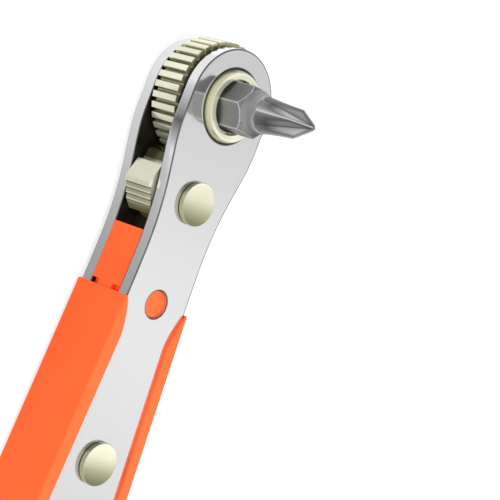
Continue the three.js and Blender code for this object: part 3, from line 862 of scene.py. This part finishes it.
blank = rim.add("GeometryNodeCurvePrimitiveCircle", {"Resolution": calc("MULTIPLY", given["Teeth"], 4)})
outline = rim.add("GeometryNodeSetPosition", {"Geometry": blank, "Position": tooth_point})
eased = rim.add("GeometryNodeFilletCurve", {
    "Curve": outline, "Count": 3, "Radius": given["Corner"], "Limit Radius": True,
}, mode="POLY")
bore = rim.add("GeometryNodeCurvePrimitiveCircle", {"Resolution": 96, "Radius": given["Bore"]})
sheet = rim.add("GeometryNodeFillCurve", {"Curve": rim.join(eased, bore)}, mode="NGONS")
lift = rim.add("ShaderNodeCombineXYZ", {"Z": given["Width"]})
raised_rim = rim.add("GeometryNodeExtrudeMesh", {"Mesh": sheet, "Offset": lift, "Individual": False})
under = rim.add("GeometryNodeFlipFaces", {"Mesh": sheet})
skins = rim.join(raised_rim, under)
closed_rim = rim.add("GeometryNodeMergeByDistance", {"Geometry": skins, "Distance": 1e-6})
stand = rim.add("ShaderNodeCombineXYZ", {"Z": given["Bottom"]})
placed_rim = rim.add("GeometryNodeTransform", {"Geometry": closed_rim, "Translation": stand})
rim.finish(placed_rim, given["Finish"])

toothed_rim = rim.build("toothed_rim")
soften(toothed_rim, TOOTH_EDGE, segments=2, angle=50)
cut_faces = toothed_rim.modifiers.new("cut_faces", "TRIANGULATE")
cut_faces.min_vertices = 5
cut_faces.keep_custom_normals = True
plain_mesh(toothed_rim)
tell(toothed_rim)

# %% [markdown]
# ## Hub and socket
# Through the middle of the rim runs the hub: a closed, faintly crowned cap at the back, a journal in each
# plate, and at the front a ring with a flared collar that fills the plate's hole and a round mouth to the hex
# socket. It is one loft whose rings share their angles, so a six-sided ring can follow a round one.

# %% Hub and socket
JOURNAL_RADIUS = 4.85
COLLAR_GAP = 0.07
COLLAR_HEIGHT = 0.5
CAP_FACE_RADIUS = 4.25
CAP_CROWN = 0.16
CAP_RINGS = 12
CAP_EDGE = [(4.5, 0.22), (4.7, 0.36), (4.81, 0.55), (JOURNAL_RADIUS, 0.8)]
MOUTH_RADIUS = 3.74
MOUTH_DEPTH = 1.5
RING_FACE = [(4.75, 0.12), (4.69, 0.04), (4.55, 0), (3.94, 0), (3.8, 0.05), (MOUTH_RADIUS, 0.2),
             (MOUTH_RADIUS, MOUTH_DEPTH)]
SOCKET_ACROSS_FLATS = 6.5
HEX_TURN = 27
SEAT_GAP = 0.05
MAGNET_HOLE_RADIUS = 2.65
MAGNET_SEAT_CENTRE = 0.5
HUB_STEPS = 144

hub_angles = [math.radians(HEX_TURN + 360 * i / HUB_STEPS) for i in range(HUB_STEPS)]
wheel_top = levels_of("ratchet_wheel")[1]
bit_low, bit_high = levels_of("screwdriver_bit")
socket_floor = bit_low - SEAT_GAP
magnet_seat = levels_of("bit_magnet")[0] - SEAT_GAP


def hex_radius(across_flats, degrees):
    """How far a hexagon's side is from its middle in a direction."""
    from_flat = (degrees - HEX_TURN) % 60 - 30
    return across_flats / 2 / math.cos(math.radians(from_flat))


def hub_ring(radius, level):
    """A ring of the hub: round, or the socket's hexagon where the radius is None."""
    radii = [radius or hex_radius(SOCKET_ACROSS_FLATS, math.degrees(t)) for t in hub_angles]
    return [(r * math.cos(t), r * math.sin(t), level) for r, t in zip(radii, hub_angles)]


cap_shares = [i / CAP_RINGS for i in range(1, CAP_RINGS + 1)]
collar_radius = JOURNAL_HOLE_RADIUS - COLLAR_GAP
collar_low = front_high - COLLAR_HEIGHT
profile = [(CAP_FACE_RADIUS * share, CAP_CROWN * share ** 2) for share in cap_shares] + CAP_EDGE
profile += [(JOURNAL_RADIUS, collar_low), (collar_radius, collar_low), (collar_radius, front_high)]
profile += [(r, wheel_top - depth) for r, depth in RING_FACE]
profile += [(None, wheel_top - MOUTH_DEPTH), (None, socket_floor), (MAGNET_HOLE_RADIUS, socket_floor)]
profile += [(MAGNET_HOLE_RADIUS, magnet_seat), (MAGNET_SEAT_CENTRE, magnet_seat)]
hub = object_of("hub", loft([hub_ring(r, z) for r, z in profile]), pale_nickel)
# The wheel takes the nickel with painted shade over its rim and grooves.
wheel = joined("thumbwheel", [toothed_rim, hub], wheel_nickel)
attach(wheel, "wheel")
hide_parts("ratchet_wheel")
tell(wheel)

# %% [markdown]
# ## Cross-tip bit
# The bit is one skin over angle and height. At every point its radius is the smallest of three limits: the
# hexagon, the turned outline, and four slanting flutes. Where two limits meet, a crisp edge appears by
# itself, as it does under the grinder. Each point also carries the tone that the bit's finish reads.

# %% Bit
BIT_ACROSS_FLATS = 6.3
BIT_CHAMFER = 0.45
HEX_TOP = 14.1
CONE_END = HEX_TOP + 0.55
TURNED_OUTLINE = [
    (bit_low, 3.2), (bit_low + BIT_CHAMFER, 3.64), (HEX_TOP, 3.64), (CONE_END, 3.12), (15.3, 2.72),
    (16.3, 2.55), (18.2, 2.33), (20, 2.17), (22.3, 2.05), (24.5, 0.72), (bit_high, 0.5),
]
FLUTE_START = 14.9
FLUTE_LEAD = 0.5
FLUTE_END_RADIUS = 0.27
ROUND_END = 16.5
WING_START = 16.6
WING_LAND = 0.02
EDGE_LINE = 0.15
# The bit's own tones, then painted highlights on edges and run-outs, flute walls lit on one side and shaded
# on the other, and a painted shade band in each scoop.
HEX_TONE = 0.28
HEX_EDGE_HIGHLIGHT = 0.8
CONE_TONE = 0.26
NECK_TONE = 0.3
WALL_LIGHT_AND_SHADE = [(0, 0.36), (30, 0.26), (45, 0.1), (50, 0.36), (90, 0.72)]
WING_EDGE_HIGHLIGHT = 0.9
RUN_OUT_HIGHLIGHT = 0.5
SCOOP_DEPTH = 0.3
SCOOP_SHADE = 0.75
BIT_STEPS = 360
CONE_RINGS = 40
CONE_RING_STEP = 0.04
TIP_RINGS = 110


def flute_radius(degrees, level):
    """How far the wall between a flute's bottom and the next wing is from the axis in a direction."""
    aside = math.radians(abs(degrees % 90 - 45))
    wing = between(TURNED_OUTLINE, level) + WING_LAND + max(0, WING_START - level)
    deep = (between(TURNED_OUTLINE, FLUTE_START) - FLUTE_END_RADIUS) / (bit_high - FLUTE_START)
    bottom = FLUTE_END_RADIUS + deep * (bit_high - level)
    straight = (math.cos(aside) - math.sin(aside)) / bottom + math.sqrt(2) * math.sin(aside) / wing
    bulge = math.cos(aside) + (math.sqrt(2) - 1) * math.sin(aside) - 1
    roundness = min(1, max(0, (ROUND_END - level) / (ROUND_END - FLUTE_START)))
    return (1 + roundness * bulge) / straight


def bit_radius(degrees, level):
    """The smallest of the limits in a direction at a height."""
    reach = min(hex_radius(BIT_ACROSS_FLATS, degrees), between(TURNED_OUTLINE, level))
    if level > FLUTE_START - FLUTE_LEAD:
        reach = min(reach, flute_radius(degrees, level))
    return reach


def painted_line(distance, width):
    """A painted line of light or shade: 1 on its line and 0 at a width from it."""
    return max(0, 1 - abs(distance) / width)


def hex_painted_light(degrees, level):
    """How light the steel is on the hexagon and the cone that ends it, with painted highlights on their
    edges.
    """
    turned, flat = between(TURNED_OUTLINE, level), hex_radius(BIT_ACROSS_FLATS, degrees)
    edge = painted_line(turned - flat, EDGE_LINE)
    if flat > turned:
        return max(CONE_TONE, HEX_EDGE_HIGHLIGHT * edge)
    from_corner = math.radians((degrees - HEX_TURN + 30) % 60 - 30) * flat
    return max(HEX_TONE, HEX_EDGE_HIGHLIGHT * painted_line(from_corner, EDGE_LINE), HEX_EDGE_HIGHLIGHT * edge)


def tip_painted_light(degrees, level):
    """Painted light on the tip: highlights on its edges, and a lit and a shaded wall to each wing."""
    aside = degrees % 90
    in_flute = between(TURNED_OUTLINE, level) - flute_radius(degrees, level)
    body = between(WALL_LIGHT_AND_SHADE, aside) if in_flute > 0 or level > WING_START else NECK_TONE
    # Painted shade: a dark band along each scoop.
    body *= 1 - SCOOP_SHADE * painted_line(in_flute - SCOOP_DEPTH, SCOOP_DEPTH)
    if level > WING_START:
        from_wing = math.radians(min(aside, 90 - aside)) * bit_radius(degrees, level)
        return max(body, WING_EDGE_HIGHLIGHT * painted_line(from_wing, EDGE_LINE))
    if FLUTE_START + EDGE_LINE < level < WING_START:
        return max(body, RUN_OUT_HIGHLIGHT * painted_line(in_flute, EDGE_LINE))
    return body


bit_levels = [bit_low, bit_low + 0.2, bit_low + BIT_CHAMFER, HEX_TOP - 0.01]
bit_levels += [HEX_TOP + CONE_RING_STEP * i for i in range(CONE_RINGS)]
tip_start = bit_levels[-1]
bit_levels += [tip_start + (bit_high - tip_start) * i / TIP_RINGS for i in range(1, TIP_RINGS + 1)]
bit_turns = [360 * i / BIT_STEPS for i in range(BIT_STEPS)]
bit_rings, bit_painted_light = [], []
for level in bit_levels:
    tone_of = hex_painted_light if level < CONE_END else tip_painted_light
    ring = [(math.radians(degrees), bit_radius(degrees, level)) for degrees in bit_turns]
    bit_rings.append([(reach * math.cos(t), reach * math.sin(t), level) for t, reach in ring])
    bit_painted_light += [tone_of(degrees, level) for degrees in bit_turns]
bit = object_of("cross_tip_bit", loft(bit_rings), bit_steel, sharp=6)
carry(bit, "tone", bit_painted_light)
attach(bit, "bit")
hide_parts("screwdriver_bit")
tell(bit)

# %% [markdown]
# ## Reversing pawl
# The imported pawl already has the right shape, with its noses, its pad and the ribs for the thumb. A copy of
# it is merged, its flat faces are made whole again and its edges are eased. The finish paints shade on its
# lobes and between its ribs, and the faces that look towards the grip get a darker, duller painted shade.

# %% Pawl
PAWL_EDGE = 0.045
TOWARDS_GRIP = -0.6

copy = bmesh.new()
copy.from_mesh(frame["nodes"]["reversing_pawl"].data)
bmesh.ops.remove_doubles(copy, verts=copy.verts, dist=1e-7)
bmesh.ops.dissolve_limit(copy, angle_limit=math.radians(0.1), verts=copy.verts, edges=copy.edges)
bmesh.ops.scale(copy, vec=(1 / MM, 1 / MM, 1 / MM), verts=copy.verts)
pawl = soften(object_of("reversing_pawl_soft", copy, pad_nickel), PAWL_EDGE)
pawl.data.materials.append(foot_nickel)
# Faces turned towards the grip take the darker painted-shade finish.
for face in pawl.data.polygons:
    face.material_index = int(face.normal.x < TOWARDS_GRIP)
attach(pawl, "pawl")
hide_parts("reversing_pawl")
tell(pawl)

# %% [markdown]
# ## Rivets
# Three rivets show the same flat head on both faces. One half rivet is lofted, and its points carry how far
# they are across the head, for the painted light and shade across it. Then a tree sets a copy on every point
# of a small cloud and turns the copies on the back over.

# %% Rivets
RIVET_HEAD_RADIUS = 3
RIVET_STEM_RADIUS = 1.45
RIVET_CROWN = 0.12
RIVET_RIM = 0.1
RIM_ROUNDING = 0.03
RIVET_UNDERCUT = 0.1
STEM_GAP = 0.01
HEAD_GAP = 0.02
FACE_RINGS = 12
FACE_CENTRE = 0.02
FACE_SLACK = 0.01
WALL_PLACE = 1.9

plate_face = front_high - gap_middle
head_top = wheel_top - gap_middle
rim_level = head_top - RIVET_CROWN
undercut_radius = RIVET_HEAD_RADIUS - RIVET_UNDERCUT
rivet_profile = [
    (RIVET_STEM_RADIUS, STEM_GAP), (RIVET_STEM_RADIUS, plate_face + HEAD_GAP),
    (undercut_radius, plate_face + HEAD_GAP), (undercut_radius, plate_face + RIVET_UNDERCUT),
    (RIVET_HEAD_RADIUS, plate_face + RIVET_UNDERCUT), (RIVET_HEAD_RADIUS, rim_level - RIVET_RIM),
    (RIVET_HEAD_RADIUS - RIM_ROUNDING, rim_level - RIM_ROUNDING),
]
for out in [1 - i / FACE_RINGS for i in range(FACE_RINGS)]:
    rivet_profile.append(((RIVET_HEAD_RADIUS - RIVET_RIM) * out, head_top - RIVET_CROWN * out ** 2))
rivet_profile.append((FACE_CENTRE, head_top))
rivet_rings = [[(x, y, z) for x, y in circle((0, 0), r)] for r, z in rivet_profile]
half_rivet = object_of("half_rivet", loft(rivet_rings), pale_nickel)
# Face points carry their place across the head for the painted gradient; wall points all take one place, a
# fixed painted shade.
carry(half_rivet, "across_head", [
    point.co.x + RIVET_HEAD_RADIUS * MM if point.co.z > (rim_level - FACE_SLACK) * MM else WALL_PLACE * MM
    for point in half_rivet.data.vertices
])

rivet_points = [("Vector", Vector((x, 0, gap_middle)) * MM) for x in rivet_places]
place_inputs = dict(zip(("First", "Second", "Third"), rivet_points))
heads = Tree("rivet_heads", {
    "Rivet": ("Object", half_rivet), **place_inputs, "Finish": ("Material", rivet_nickel),
})
chosen = heads.inputs
half = heads.add("GeometryNodeObjectInfo", {"Object": chosen["Rivet"]}, out="Geometry")
places = heads.join(*[
    heads.add("GeometryNodeMeshLine", {"Count": 1, "Start Location": chosen[label]}) for label in place_inputs
])
fronts = heads.add("GeometryNodeInstanceOnPoints", {"Points": places, "Instance": half})
over = heads.add("FunctionNodeEulerToRotation", {"Euler": (math.pi, 0, 0)})
backs = heads.add("GeometryNodeInstanceOnPoints", {"Points": places, "Instance": half, "Rotation": over})
heads.finish(heads.join(fronts, backs), chosen["Finish"])

rivets = heads.build("rivets")
bpy.data.objects.remove(half_rivet)
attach(rivets, "frame")
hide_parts(*[f"{name}_rivet_{half_name}" for name in RIVETS for half_name in ("post", "tube")])
tell(rivets)

# %% [markdown]
# ## Grip
# The grip is moulded round the plates: a core between them, walls along their edges and flanges that lap
# over their faces. Its walls are one loft: the same E-shaped section travels from the front end of one side
# round the tail to the other, and only two of its sizes change on the way.

# %% Grip walls
GRIP_START = 28.45
GRIP_FRONT_WALL = 0.39
GRIP_TAIL_WALL = 0.76
FLANGE_RISE = 0.48
FLANGE_LAP_FRONT = 1.5
FLANGE_LAP_TAIL = 0.94
FLANGE_SWEEP = 5.35
FLANGE_SWEEP_EASE = 2.2
SWEEP_OVERHANG = 0.1
GRIP_CORNER = 0.4
CORNER_SHARE = 0.6
LIP_CORNER = 0.08
LIP_SHARE = 0.2
MOULD_GAP = 0.02
WALL_ROOT = 2.5
FRONT_ROUNDING = [(0, 0.34), (0.04, 0.22), (0.1, 0.13), (0.2, 0.05), (0.34, 0)]
SWEEP_RINGS = 30
SIDE_RINGS = 24
TAIL_RINGS = 48

grip_front = half_width(-GRIP_START) + GRIP_FRONT_WALL
grip_tail = PLATE_TAIL_RADIUS + GRIP_TAIL_WALL
window_tail = PLATE_TAIL_RADIUS - FLANGE_LAP_TAIL
sweep_end = -GRIP_START - FLANGE_SWEEP
window_front = half_width(sweep_end) - FLANGE_LAP_FRONT
sweep_curve = bezier([
    (-GRIP_START, half_width(-GRIP_START) + SWEEP_OVERHANG), (sweep_end + FLANGE_SWEEP_EASE, window_front),
    (sweep_end, window_front),
], steps=40)


def outer_at(x):
    """How far the grip's wall is from the middle line."""
    share = (-GRIP_START - x) / (TAIL_DISTANCE - GRIP_START)
    return grip_front + (grip_tail - grip_front) * share


def window_at(x):
    """How far the flange's inner edge is from the middle line."""
    if x > sweep_end:
        return between([(-px, py) for px, py in sweep_curve], -x)
    share = (sweep_end - x) / (TAIL_DISTANCE + sweep_end)
    return window_front + (window_tail - window_front) * share


def section(outer, window, edge):
    """The closed section of a wall. Its upper half runs from the wall over the flange to the core."""
    top = front_high + FLANGE_RISE
    corner = min(GRIP_CORNER, CORNER_SHARE * (outer - window))
    lip = min(LIP_CORNER, LIP_SHARE * (outer - window))
    face, under, room = front_high + MOULD_GAP, front_low - MOULD_GAP, edge + MOULD_GAP
    upper = arc((outer - corner, top - corner), corner, 0, 90, steps=8)
    upper += arc((window + lip, top - lip), lip, 90, 180, steps=3)
    upper += [(window, face), (room, face), (room, under), (edge - WALL_ROOT, under)]
    return upper + [(reach, 2 * gap_middle - level) for reach, level in reversed(upper)]


def shrunk(points, amount):
    """A section drawn in for the rounded front end."""
    middle_reach = sum(reach for reach, level in points) / len(points)
    return [(reach - math.copysign(min(amount, abs(reach - middle_reach) / 4), reach - middle_reach),
             level - math.copysign(amount, level - gap_middle)) for reach, level in points]


side_stations = [-GRIP_START - back for back, _ in FRONT_ROUNDING]
side_stations += [side_stations[-1] - FLANGE_SWEEP * i / SWEEP_RINGS for i in range(1, SWEEP_RINGS + 1)]
to_tail = TAIL_DISTANCE + side_stations[-1]
side_stations += [side_stations[-1] - to_tail * i / SIDE_RINGS for i in range(1, SIDE_RINGS + 1)]
draw_ins = [draw_in for _, draw_in in FRONT_ROUNDING]
draw_ins += [0] * (len(side_stations) - len(draw_ins))
grip_rings = []
for x, draw_in in zip(side_stations, draw_ins):
    points = shrunk(section(outer_at(x), window_at(x), half_width(x)), draw_in)
    grip_rings.append([(x, reach, level) for reach, level in points])
other_side = [[(x, -y, z) for x, y, z in ring] for ring in reversed(grip_rings)]
tail_section = section(grip_tail, window_tail, PLATE_TAIL_RADIUS)
for t in [math.radians(90 + 180 * i / TAIL_RINGS) for i in range(1, TAIL_RINGS)]:
    grip_rings.append([(-TAIL_DISTANCE + reach * math.cos(t), reach * math.sin(t), level)
                       for reach, level in tail_section])
grip_walls = object_of("grip_walls", loft(grip_rings + other_side), orange_plastic)
tell(grip_walls)

# %% [markdown]
# ## Core and pegs
# The core fills the space between the plates and shows in the gap behind the pawl, a little proud of the
# steel. Two small pockets beside the grip's front end show where the mould shut on the plates. A round peg
# fills a hole in each plate, just below the surface.

# %% Core and pegs
CORE_PROUD = 0.1
CORE_BACK = 40
PEG_RADIUS = 1.88
PEG_RECESS = 0.35
RELIEF_LENGTH = 0.75
RELIEF_WIDTH = 1.5
RELIEF_DEPTH = 0.8

core_end = box_mm("grip_handle")[1].x


def core_outline(pocketed):
    """The core's outline, with a pocket in each side where it is asked for."""
    edge = [(x, y) for x, y in plate_edge(CORE_PROUD) if -CORE_BACK < x < core_end]
    half = [(core_end, half_width(core_end) + CORE_PROUD)] + edge
    if pocketed:
        pocket_front = -GRIP_START + RELIEF_LENGTH
        deep = half_width(-GRIP_START) - RELIEF_DEPTH
        half = [(x, y) for x, y in half if x > pocket_front]
        mouth = half_width(pocket_front) + CORE_PROUD
        half += [(pocket_front, mouth), (pocket_front, deep), (-CORE_BACK, deep)]
    return both_sides(half + [(-CORE_BACK, 0)])


core_low, core_high = rear_high + MOULD_GAP, front_low - MOULD_GAP
core_levels = [core_low, core_low + RELIEF_WIDTH, core_high - RELIEF_WIDTH, core_high]
core_pieces = [
    object_of("core_layer", slab([core_outline(pocketed)], low, high), orange_plastic)
    for low, high, pocketed in zip(core_levels, core_levels[1:], (True, False, True))
]
peg_outline = circle((-PEG_DISTANCE, 0), PEG_RADIUS)
peg = object_of("peg", slab([peg_outline], rear_low + PEG_RECESS, front_high - PEG_RECESS), orange_plastic)
soften(peg, width=0.1)
grip = joined("orange_grip", [grip_walls, peg] + core_pieces, orange_plastic)
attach(grip, "frame")
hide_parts("grip_handle")
tell(grip)

# %% [markdown]
# ## Detent spring
# The spring is a wire swept along a spiral, so the tree is the spiral, a round section and a turn that lays
# it along the tool.

# %% Spring
SPRING_TURNS = 5
SPRING_WIRE_RADIUS = 0.2

spring_low, spring_high = box_mm("detent_spring")
spring_length = spring_high.x - spring_low.x
coil_radius = (spring_high.z - spring_low.z) / 2 - SPRING_WIRE_RADIUS
coil_start = Vector((spring_high.x - SPRING_WIRE_RADIUS, 0, gap_middle))
coil = Tree("coil_spring", {
    "Turns": ("Float", SPRING_TURNS), "Radius": ("Float", coil_radius * MM),
    "Length": ("Float", (spring_length - 2 * SPRING_WIRE_RADIUS) * MM),
    "Wire": ("Float", SPRING_WIRE_RADIUS * MM), "Start": ("Vector", coil_start * MM),
    "Finish": ("Material", inner_steel),
})
wanted = coil.inputs
spiral = coil.add("GeometryNodeCurveSpiral", {
    "Resolution": 32, "Rotations": wanted["Turns"], "Start Radius": wanted["Radius"],
    "End Radius": wanted["Radius"], "Height": wanted["Length"],
})
wire = coil.add("GeometryNodeCurvePrimitiveCircle", {"Resolution": 12, "Radius": wanted["Wire"]})
swept = coil.add("GeometryNodeCurveToMesh", {"Curve": spiral, "Profile Curve": wire, "Fill Caps": True})
laid = coil.add("FunctionNodeEulerToRotation", {"Euler": (0, -math.pi / 2, 0)})
placed_coil = coil.add("GeometryNodeTransform", {
    "Geometry": swept, "Translation": wanted["Start"], "Rotation": laid,
})
coil.finish(placed_coil, wanted["Finish"])

spring = coil.build("detent_coil")
spring.data.shade_smooth()
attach(spring, "frame")
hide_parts("detent_spring")
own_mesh(spring)
tell(spring)
